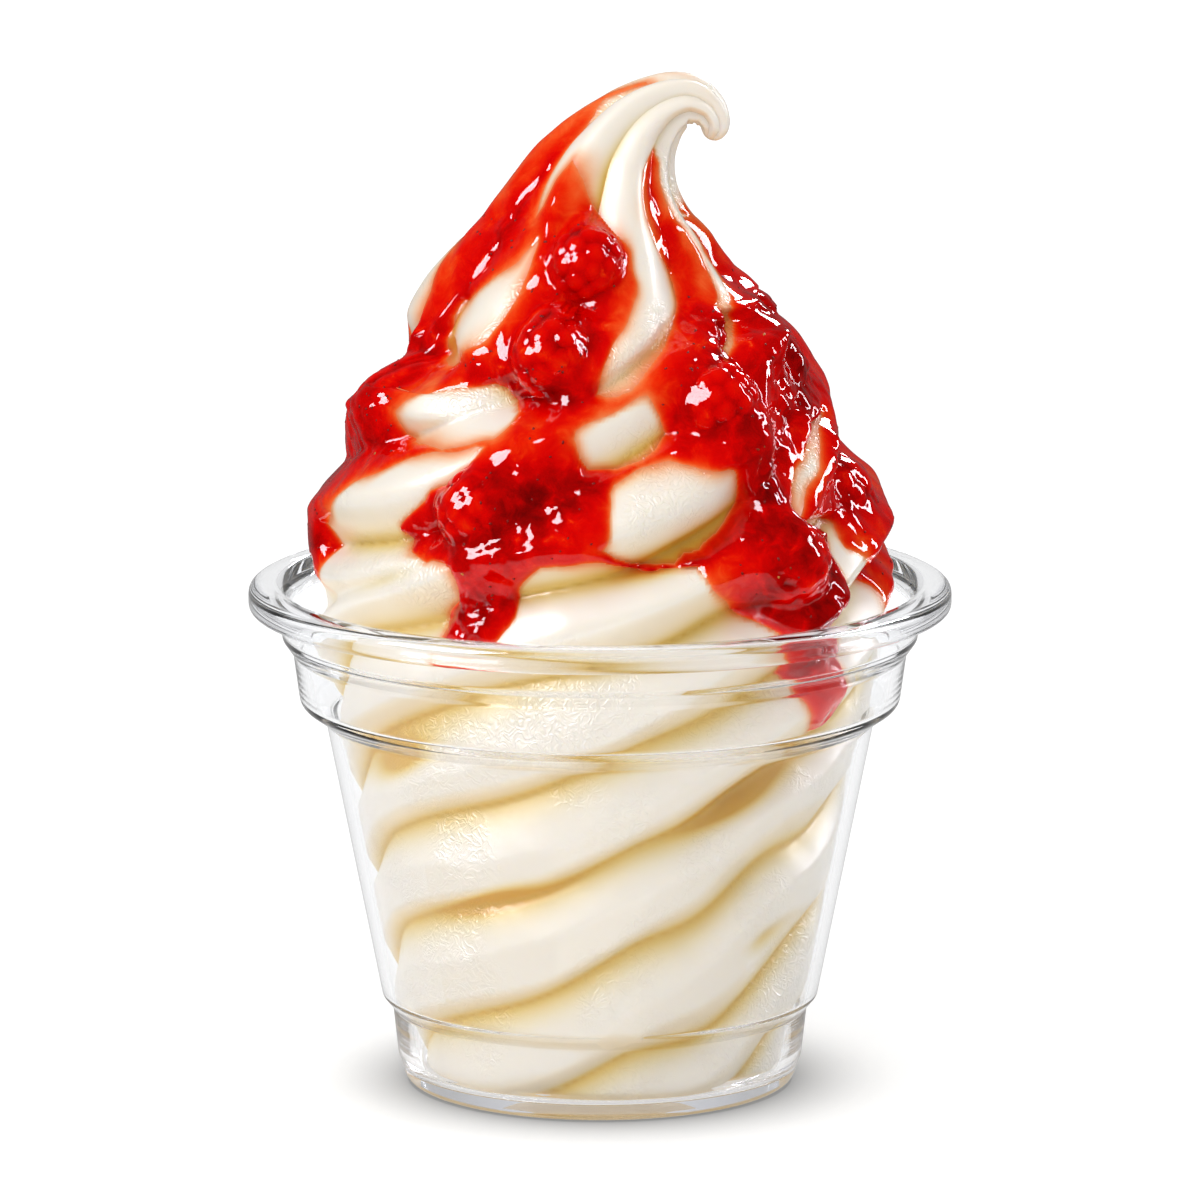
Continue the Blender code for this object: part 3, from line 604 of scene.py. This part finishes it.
def grains(way, seed):
    # the rounded grains of a berry seen from its middle: 1 on top of each, 0 deep between them
    draw = np.random.default_rng(seed)
    k = np.arange(berry["grains"])
    up = 1 - 2 * (k + 0.5) / berry["grains"]
    turn = k * math.pi * (3 - math.sqrt(5))
    level = np.sqrt(1 - up ** 2)
    grain = np.stack([level * np.cos(turn), level * np.sin(turn), up], 1)
    grain += draw.normal(scale=0.05, size=grain.shape)
    grain /= np.linalg.norm(grain, axis=1, keepdims=True)
    width = berry["grainWidth"] * draw.uniform(0.88, 1.12, len(grain))
    away = np.arccos(np.clip(way @ grain.T, -1, 1)) / width
    return np.sqrt(np.clip(1 - away.min(-1) ** 2, 0, 1))


def buildBerry(name, middle, radius, seed, material):
    form = bmesh.new()
    bmesh.ops.create_icosphere(form, subdivisions=berry["fineness"], radius=1.0)
    d = np.array([v.co[:] for v in form.verts])
    d /= np.linalg.norm(d, axis=1, keepdims=True)
    top = grains(d, seed)
    r = radius * (1.0 - berry["grainHeight"] * (1 - top))
    stretch = 1 + 0.10 * (d @ np.array([0.25, 0.0, 0.97])) ** 2
    place = middle + d * (r * stretch)[:, None]
    for v, p in zip(form.verts, place):
        v.co = Vector(p * mm)
    piece = pieceFromForm(name, form, material)
    addValue(piece, "thickness", 3.0 - 2.0 * top)
    return piece


seeds = {"count": 420, "length": 0.62, "seed": 71}


def buildSeeds(material):
    draw = np.random.default_rng(seeds["seed"])
    theta = draw.uniform(-np.pi, np.pi, 9000)
    s = draw.uniform(50.0, 126.0, 9000)
    r, deep = creamSurface(theta, s)
    r = surfaceInCup(r, theta, s)
    top, inside = sauceDepth(theta, s, deep, r)[:2]
    chance = draw.uniform(0, 1, len(s)) < smoothThrough(s, swirl["outline"]) / 38.0
    good = np.flatnonzero((inside > 1.0) & (top > 0.45) & (s > 64) & chance)[:seeds["count"]]
    form = bmesh.new()
    for i in good:
        p = placeAt(theta[i:i + 1], s[i:i + 1], (r + top)[i:i + 1] - 0.06)[0]
        a = placeAt(theta[i:i + 1] + 0.02, s[i:i + 1], (r + top)[i:i + 1])[0] - p
        out = np.array([math.sin(theta[i]), -math.cos(theta[i]), 0.35])
        out /= np.linalg.norm(out)
        a = a - out * (a @ out)
        a /= np.linalg.norm(a)
        b = np.cross(out, a)
        spin = draw.uniform(0, math.pi)
        long = a * math.cos(spin) + b * math.sin(spin)
        wide = np.cross(out, long)
        size = seeds["length"] * draw.uniform(0.75, 1.2)
        made = bmesh.ops.create_icosphere(form, subdivisions=1, radius=1.0)["verts"]
        for v in made:
            c = v.co
            v.co = Vector((p + size * (long * c.x * 0.5 + wide * c.y * 0.32 + out * c.z * 0.18)) * mm)
    print("seeds", len(good))
    return pieceFromForm("sauceSeeds", form, material)


def newMaterial(name):
    material = bpy.data.materials.new(name)
    material.use_nodes = True
    return material, material.node_tree, material.node_tree.nodes["Principled BSDF"]


def mathNode(tree, operation, first, second=None, clamp=False):
    node = tree.nodes.new("ShaderNodeMath")
    node.operation = operation
    node.use_clamp = clamp
    for socket, value in zip(node.inputs, (first, second)):
        if value is None:
            continue
        if isinstance(value, (int, float)):
            socket.default_value = value
        else:
            tree.links.new(value, socket)
    return node.outputs[0]


def colourMix(tree, factor, first, second, blend="MIX"):
    node = tree.nodes.new("ShaderNodeMix")
    node.data_type = "RGBA"
    node.blend_type = blend
    for socket, value in ((node.inputs[0], factor), (node.inputs[6], first), (node.inputs[7], second)):
        if isinstance(value, (int, float)):
            socket.default_value = value
        elif isinstance(value, tuple):
            socket.default_value = (*value, 1.0)
        else:
            tree.links.new(value, socket)
    return node.outputs[2]


def setInputs(node, values):
    for name, value in values.items():
        node.inputs[name].default_value = value


def readValue(tree, name):
    node = tree.nodes.new("ShaderNodeAttribute")
    node.attribute_name = name
    return node.outputs["Fac"]


def groupSockets(tree, inputs, outputs):
    for name, kind, value in inputs:
        socket = tree.interface.new_socket(name, in_out="INPUT", socket_type=kind)
        socket.default_value = value
    for name, kind in outputs:
        tree.interface.new_socket(name, in_out="OUTPUT", socket_type=kind)
    return tree.nodes.new("NodeGroupInput"), tree.nodes.new("NodeGroupOutput")


sauceLoss = (0.28, 5.5, 9.5)  # how much of red, green and blue each mm takes away
sauceFull = (0.94, 0.90, 0.84)


def makeSauceTint():
    # the colour that a layer of sauce gives to light coming back through it
    tree = bpy.data.node_groups.new("sauceTint", "ShaderNodeTree")
    start, end = groupSockets(
        tree,
        [("Thickness", "NodeSocketFloat", 1.0), ("Pulp", "NodeSocketFloat", 0.3)],
        [("Color", "NodeSocketColor")])
    place = tree.nodes.new("ShaderNodeTexCoord").outputs["Object"]
    cloud = tree.nodes.new("ShaderNodeTexNoise")
    setInputs(cloud, {"Scale": 340.0, "Detail": 5.0, "Roughness": 0.62, "Distortion": 0.6})
    tree.links.new(place, cloud.inputs["Vector"])
    thickness = start.outputs["Thickness"]
    body = mathNode(tree, "MULTIPLY", mathNode(tree, "MULTIPLY", thickness, 0.6, True), start.outputs["Pulp"])
    uneven = mathNode(tree, "MULTIPLY", mathNode(tree, "SUBTRACT", cloud.outputs["Fac"], 0.5), body)
    uneven = mathNode(tree, "ADD", mathNode(tree, "MULTIPLY", uneven, 4.0), 1.0)
    depth = mathNode(tree, "MAXIMUM", mathNode(tree, "MULTIPLY", thickness, uneven), 0.0)
    parts = tree.nodes.new("ShaderNodeCombineColor")
    for channel, loss in enumerate(sauceLoss):
        kept = mathNode(tree, "POWER", math.exp(-loss), depth)
        full = sauceFull[channel]
        tree.links.new(mathNode(tree, "MULTIPLY", kept, full), parts.inputs[channel])
    tree.links.new(parts.outputs[0], end.inputs["Color"])
    return tree


def makeWetRipple():
    # fine unevenness of a wet surface, as a normal
    tree = bpy.data.node_groups.new("wetRipple", "ShaderNodeTree")
    start, end = groupSockets(
        tree,
        [("Strength", "NodeSocketFloat", 0.3), ("Size", "NodeSocketFloat", 1.0)],
        [("Normal", "NodeSocketVector")])
    place = tree.nodes.new("ShaderNodeTexCoord").outputs["Object"]
    noise = tree.nodes.new("ShaderNodeTexNoise")
    setInputs(noise, {"Detail": 2.0, "Distortion": 0.8})
    tree.links.new(place, noise.inputs["Vector"])
    tree.links.new(mathNode(tree, "DIVIDE", 700.0, start.outputs["Size"]), noise.inputs["Scale"])
    bump = tree.nodes.new("ShaderNodeBump")
    bump.inputs["Distance"].default_value = 0.0004
    tree.links.new(start.outputs["Strength"], bump.inputs["Strength"])
    tree.links.new(noise.outputs["Fac"], bump.inputs["Height"])
    tree.links.new(bump.outputs["Normal"], end.inputs["Normal"])
    return tree


def useGroup(tree, group, values):
    node = tree.nodes.new("ShaderNodeGroup")
    node.node_tree = group
    for name, value in values.items():
        if isinstance(value, (int, float)):
            node.inputs[name].default_value = value
        else:
            tree.links.new(value, node.inputs[name])
    return node


def makeWrinkles():
    # patches of fine wrinkles in a smooth moist skin, as a normal
    tree = bpy.data.node_groups.new("skinWrinkles", "ShaderNodeTree")
    start, end = groupSockets(tree, [("Strength", "NodeSocketFloat", 0.3)], [("Normal", "NodeSocketVector")])
    place = tree.nodes.new("ShaderNodeTexCoord").outputs["Object"]
    heights = {}
    layers = (("fine", 620.0, 1.5, 1.6), ("where", 75.0, 1.0, 0.0), ("soft", 190.0, 2.0, 0.3))
    for name, scale, detail, bend in layers:
        noise = tree.nodes.new("ShaderNodeTexNoise")
        noise.inputs["Scale"].default_value = scale
        noise.inputs["Detail"].default_value = detail
        noise.inputs["Distortion"].default_value = bend
        tree.links.new(place, noise.inputs["Vector"])
        heights[name] = noise.outputs["Fac"]
    ridge = mathNode(tree, "ABSOLUTE", mathNode(tree, "SUBTRACT", heights["fine"], 0.5))
    ridge = mathNode(tree, "SUBTRACT", 1.0, mathNode(tree, "MULTIPLY", ridge, 7.0, True))
    patch = mathNode(tree, "MULTIPLY", mathNode(tree, "SUBTRACT", heights["where"], 0.49), 9.0, True)
    height = mathNode(tree, "MULTIPLY", mathNode(tree, "MULTIPLY", ridge, patch), 0.45)
    height = mathNode(tree, "ADD", height, mathNode(tree, "MULTIPLY", heights["soft"], 0.5))
    bump = tree.nodes.new("ShaderNodeBump")
    bump.inputs["Distance"].default_value = 0.0003
    tree.links.new(start.outputs["Strength"], bump.inputs["Strength"])
    tree.links.new(height, bump.inputs["Height"])
    tree.links.new(bump.outputs["Normal"], end.inputs["Normal"])
    return tree


def makeCream(tint, wrinkles):
    # painted shade: how much of red, green and blue goes on the undersides of folds, and in the creases
    look = {"light": (0.92, 0.897, 0.855), "shade": (0.12, 0.28, 0.62), "paintedCreaseShade": (0.22, 0.66, 2.5), "sharp": 5.0}
    material, tree, shader = newMaterial("iceCream")
    # painted shade on the undersides of the folds, from how far each place faces down
    under = mathNode(tree, "MULTIPLY", mathNode(tree, "SUBTRACT", readValue(tree, "under"), 0.16), 1.3, True)
    crease = mathNode(tree, "MULTIPLY", readValue(tree, "crease"), 0.97, True)
    near = mathNode(tree, "MULTIPLY", mathNode(tree, "POWER", crease, 2.0), 0.25)
    under = mathNode(tree, "ADD", under, near)
    # painted shade, darker and yellower deep in the creases
    crease = mathNode(tree, "POWER", crease, look["sharp"])
    parts = tree.nodes.new("ShaderNodeCombineColor")
    for channel, light in enumerate(look["light"]):
        shade = mathNode(tree, "POWER", math.exp(-look["shade"][channel]), under)
        kept = mathNode(tree, "POWER", math.exp(-look["paintedCreaseShade"][channel]), crease)
        both = mathNode(tree, "MULTIPLY", shade, kept)
        tree.links.new(mathNode(tree, "MULTIPLY", both, light), parts.inputs[channel])
    colour = parts.outputs[0]
    stained = useGroup(tree, tint, {"Thickness": readValue(tree, "stain"), "Pulp": 0.35})
    tree.links.new(colourMix(tree, 1.0, colour, stained.outputs["Color"], "MULTIPLY"), shader.inputs["Base Color"])
    # painted glow at the foot of the ice cream, in place of light that comes in through the cup's base
    glow = colourMix(tree, 1.0, readValue(tree, "paintedFootGlow"), (0.76, 0.58, 0.33), "MULTIPLY")
    tree.links.new(glow, shader.inputs["Emission Color"])
    shader.inputs["Emission Strength"].default_value = 0.38
    skin = useGroup(tree, wrinkles, {"Strength": 0.5})
    tree.links.new(skin.outputs["Normal"], shader.inputs["Normal"])
    tree.links.new(skin.outputs["Normal"], shader.inputs["Coat Normal"])
    setInputs(shader, {"Coat Weight": 0.35, "Coat Roughness": 0.22, "Coat IOR": 1.4, "Roughness": 0.42,
        "Subsurface Weight": 0.5, "Subsurface Radius": (1.0, 0.85, 0.6), "Subsurface Scale": 0.0007,
        "Specular IOR Level": 0.35})
    return material


# sauce and fruit: pulp and ripple of the finish, how rough it is below its gloss, and how far light spreads in it
wetLooks = {
    "berrySauce": {"pulp": 0.85, "ripple": 0.35, "size": 1.0, "rough": 0.16, "spread": (1.0, 0.12, 0.06),
        "reach": 0.0010},
    "berryFlesh": {"pulp": 0.2, "ripple": 0.25, "size": 0.8, "rough": 0.2, "spread": (1.0, 0.10, 0.06),
        "reach": 0.0016},
}


def makeWet(name, tint, ripple):
    look = wetLooks[name]
    material, tree, shader = newMaterial(name)
    colour = useGroup(tree, tint, {"Thickness": readValue(tree, "thickness"), "Pulp": look["pulp"]})
    tree.links.new(colour.outputs["Color"], shader.inputs["Base Color"])
    wet = useGroup(tree, ripple, {"Strength": look["ripple"], "Size": look["size"]})
    tree.links.new(wet.outputs["Normal"], shader.inputs["Normal"])
    setInputs(shader, {"Roughness": look["rough"], "Subsurface Weight": 0.25, "Subsurface Radius": look["spread"],
        "Subsurface Scale": look["reach"], "Specular IOR Level": 0.0, "Coat Weight": 1.0, "Coat Roughness": 0.03,
        "Coat IOR": 1.36})
    return material


def makeSeed():
    material, tree, shader = newMaterial("seedSkin")
    noise = tree.nodes.new("ShaderNodeTexNoise")
    noise.inputs["Scale"].default_value = 160.0
    tree.links.new(tree.nodes.new("ShaderNodeTexCoord").outputs["Object"], noise.inputs["Vector"])
    warm = mathNode(tree, "MULTIPLY", mathNode(tree, "SUBTRACT", noise.outputs["Fac"], 0.62), 9.0, True)
    tree.links.new(colourMix(tree, warm, (0.22, 0.008, 0.005), (0.60, 0.24, 0.05)), shader.inputs["Base Color"])
    setInputs(shader, {"Roughness": 0.5, "Specular IOR Level": 0.1})
    return material


def makeClearCup():
    material, tree, shader = newMaterial("clearPlastic")
    setInputs(shader, {"Base Color": (0.985, 0.99, 0.995, 1.0), "Transmission Weight": 1.0, "Roughness": 0.0,
        "IOR": 1.42})
    output = tree.nodes["Material Output"]
    paths = tree.nodes.new("ShaderNodeLightPath")
    clear = tree.nodes.new("ShaderNodeBsdfTransparent")
    height = tree.nodes.new("ShaderNodeSeparateXYZ")
    tree.links.new(tree.nodes.new("ShaderNodeTexCoord").outputs["Object"], height.inputs[0])
    # light passing through the bottom mm of the cup is darkened: painted shade round the foot
    reach = mathNode(tree, "ADD", mathNode(tree, "MULTIPLY", paths.outputs["Is Shadow Ray"], 0.005), 0.002)
    paintedFootShade = mathNode(tree, "SUBTRACT", 1.0, mathNode(tree, "DIVIDE", height.outputs[2], reach), True)
    tree.links.new(colourMix(tree, paintedFootShade, (0.985, 0.985, 0.985), (0.22, 0.20, 0.17)), clear.inputs["Color"])
    surface = shader.outputs[0]
    for ray in ("Is Diffuse Ray", "Is Shadow Ray"):
        mix = tree.nodes.new("ShaderNodeMixShader")
        tree.links.new(paths.outputs[ray], mix.inputs[0])
        tree.links.new(surface, mix.inputs[1])
        tree.links.new(clear.outputs[0], mix.inputs[2])
        surface = mix.outputs[0]
    tree.links.new(surface, output.inputs["Surface"])
    body = tree.nodes.new("ShaderNodeVolumeAbsorption")
    setInputs(body, {"Color": (0.20, 0.22, 0.36, 1.0), "Density": 7.0})
    tree.links.new(body.outputs[0], output.inputs["Volume"])
    return material


# painted shade that the foot leaves close round it on the floor: metres, then how dark beside it and how much more
# below it;
# bounce: how much light the sheet throws back, and how much more of it onto the sundae
contact = {"radius": 0.0254, "reach": 0.018, "beside": 0.55, "under": 0.10, "bounce": 0.45, "nearBounce": 0.50}


def makeFloor():
    # a pale sheet that glows a little by itself, to the eye and through the cup
    material, tree, shader = newMaterial("paleFloor")
    setInputs(shader, {"Roughness": 0.9, "Specular IOR Level": 0.0})
    paths = tree.nodes.new("ShaderNodeLightPath")
    away = tree.nodes.new("ShaderNodeVectorMath")
    away.operation = "LENGTH"
    tree.links.new(tree.nodes.new("ShaderNodeTexCoord").outputs["Object"], away.inputs[0])
    far = away.outputs["Value"]
    # painted shadow round the cup's foot and under it, seen only by the camera
    close = mathNode(tree, "SUBTRACT", contact["radius"] + contact["reach"], far)
    close = mathNode(tree, "DIVIDE", close, contact["reach"], True)
    beside = mathNode(tree, "MULTIPLY", mathNode(tree, "POWER", close, 2.0), contact["beside"])
    beneath = mathNode(tree, "MULTIPLY", mathNode(tree, "LESS_THAN", far, contact["radius"]), contact["under"])
    shade = mathNode(tree, "MULTIPLY", mathNode(tree, "ADD", beside, beneath), paths.outputs["Is Camera Ray"])
    left = mathNode(tree, "SUBTRACT", 1.0, shade)
    diffuse = paths.outputs["Is Diffuse Ray"]
    bounce = mathNode(tree, "ADD", mathNode(tree, "MULTIPLY", diffuse, contact["nearBounce"]), contact["bounce"])
    for name, level in (("Emission Color", left), ("Base Color", mathNode(tree, "MULTIPLY", left, bounce))):
        tree.links.new(colourMix(tree, level, (0.0, 0.0, 0.0), (1.0, 1.0, 1.0)), shader.inputs[name])
    glow = mathNode(tree, "MULTIPLY", diffuse, studio["floorGlow"])
    glow = mathNode(tree, "SUBTRACT", studio["floorGlow"], glow)
    tree.links.new(glow, shader.inputs["Emission Strength"])
    return material


studio = {
    "sky": 0.42,
    "skyInWet": 0.05,  # what wet surfaces mirror of it in front
    "skyBehind": 0.12,  # and from behind, along their edges
    "skyOnCup": 0.32,  # how much more of it the clear cup mirrors
    "skyInCup": 0.90,  # and what is seen inside the clear wall
    "sideShade": 0.22,  # how much darker that is towards both sides
    "floorGlow": 0.66,
    # broad light: name, where it comes from, spread in degrees, strength
    "suns": [("overheadLight", (-0.15, 0.05, 1.0), 90.0, 1.30), ("frontLight", (-0.45, -0.80, 0.70), 90.0, 1.28)],
    # bright panels that only shine in wet and clear surfaces: name, place, width, height, watts
    "panels": [("leftWindow", (-0.95, -0.55, 0.78), 0.80, 0.80, 60.0),
               ("rightWindow", (1.00, 0.30, 0.50), 0.22, 0.70, 13.0),
               ("backWindow", (0.45, 0.90, 0.80), 0.30, 0.30, 9.0)],
    "aim": (0.0, 0.0, 0.08),
}


def placeLamp(name, light, place):
    lamp = bpy.data.objects.new(name, light)
    bpy.context.scene.collection.objects.link(lamp)
    lamp.location = place
    lamp.rotation_euler = (Vector(studio["aim"]) - Vector(place)).to_track_quat("-Z", "Y").to_euler()
    return lamp


def buildStudio():
    scene = bpy.context.scene
    scene.view_settings.view_transform = "Standard"
    scene.cycles.max_bounces, scene.cycles.glossy_bounces, scene.cycles.transmission_bounces = 24, 14, 18
    scene.cycles.diffuse_bounces = 2
    world = bpy.data.worlds.new("softRoom")
    scene.world = world
    world.use_nodes = True
    tree = world.node_tree
    room = tree.nodes["Background"]
    room.inputs[0].default_value = (1.0, 1.0, 1.0, 1.0)
    paths = tree.nodes.new("ShaderNodeLightPath")
    glossy = paths.outputs["Is Glossy Ray"]
    inCup = mathNode(tree, "GREATER_THAN", paths.outputs["Transmission Depth"], 0.5)
    way = tree.nodes.new("ShaderNodeSeparateXYZ")
    tree.links.new(tree.nodes.new("ShaderNodeTexCoord").outputs["Generated"], way.inputs[0])
    behind = mathNode(tree, "MULTIPLY", mathNode(tree, "SUBTRACT", way.outputs[1], 0.45), 2.4, True)
    side = mathNode(tree, "SUBTRACT", mathNode(tree, "ABSOLUTE", way.outputs[0]), 0.12)
    side = mathNode(tree, "MULTIPLY", side, 2.4, True)
    seen = mathNode(tree, "SUBTRACT", studio["skyInCup"], mathNode(tree, "MULTIPLY", side, studio["sideShade"]))
    wet = mathNode(tree, "MULTIPLY", behind, studio["skyBehind"] - studio["skyInWet"])
    wet = mathNode(tree, "ADD", wet, studio["skyInWet"])
    onCup = mathNode(tree, "MULTIPLY", paths.outputs["Is Singular Ray"], studio["skyOnCup"])
    wet = mathNode(tree, "ADD", wet, mathNode(tree, "MULTIPLY", onCup, mathNode(tree, "ADD", behind, 0.25)))
    step = mathNode(tree, "MULTIPLY", inCup, mathNode(tree, "SUBTRACT", seen, wet))
    mirrored = mathNode(tree, "SUBTRACT", mathNode(tree, "ADD", step, wet), studio["sky"])
    tree.links.new(mathNode(tree, "ADD", mathNode(tree, "MULTIPLY", glossy, mirrored), studio["sky"]), room.inputs[1])
    for name, place, spread, strength in studio["suns"]:
        light = bpy.data.lights.new(name, "SUN")
        light.angle, light.energy = math.radians(spread), strength
        placeLamp(name, light, place).visible_glossy = False
    for name, place, width, height, watts in studio["panels"]:
        light = bpy.data.lights.new(name, "AREA")
        light.shape = "RECTANGLE"
        light.size, light.size_y, light.energy = width, height, watts
        light.color = (0.93, 0.93, 1.0)
        lamp = placeLamp(name, light, place)
        lamp.visible_diffuse = False
    floor = newMesh("paleFloor", [(-4, -4, 0), (4, -4, 0), (4, 4, 0), (-4, 4, 0)], [(0, 1, 2, 3)], makeFloor(), False)
    floor.visible_glossy = False


view = {"elevation": 11.2, "distance": 1.3, "aimHeight": 0.064, "lens": 297.96}


def buildCamera():
    lens = bpy.data.cameras.new("camera")
    camera = bpy.data.objects.new("camera", lens)
    bpy.context.scene.collection.objects.link(camera)
    tilt = math.radians(view["elevation"])
    camera.location = (0.0, -view["distance"] * math.cos(tilt), view["aimHeight"] + view["distance"] * math.sin(tilt))
    camera.rotation_euler = (math.pi / 2 - tilt, 0.0, 0.0)
    lens.sensor_width = 36.0
    lens.lens = view["lens"]
    lens.clip_start, lens.clip_end = 0.05, 50.0
    bpy.context.scene.camera = camera


tint, ripple, wrinkles = makeSauceTint(), makeWetRipple(), makeWrinkles()
print("finishes ready")

shell = buildCup(makeClearCup())
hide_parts("cup")
shell.visible_shadow = False
print("cup built")

swirlPiece = buildCream(makeCream(tint, wrinkles))
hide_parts("ice_cream")
print("ice cream built")

saucePiece = buildSauce(makeWet("berrySauce", tint, ripple))
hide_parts("ice_cream")
seedPiece = buildSeeds(makeSeed())
print("sauce built")

flesh = makeWet("berryFlesh", tint, ripple)
berryPieces = []
for number, (middle, radius) in enumerate(berryPlaces(), 1):
    piece = buildBerry("berryFruit" + str(number), middle, radius, 100 + number, flesh)
    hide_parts("berry_" + str(number))
    berryPieces.append(piece)
print("berries built")

for piece in [shell, swirlPiece, saucePiece, seedPiece] + berryPieces:
    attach(piece, "root")

buildStudio()
buildCamera()
print("studio ready")
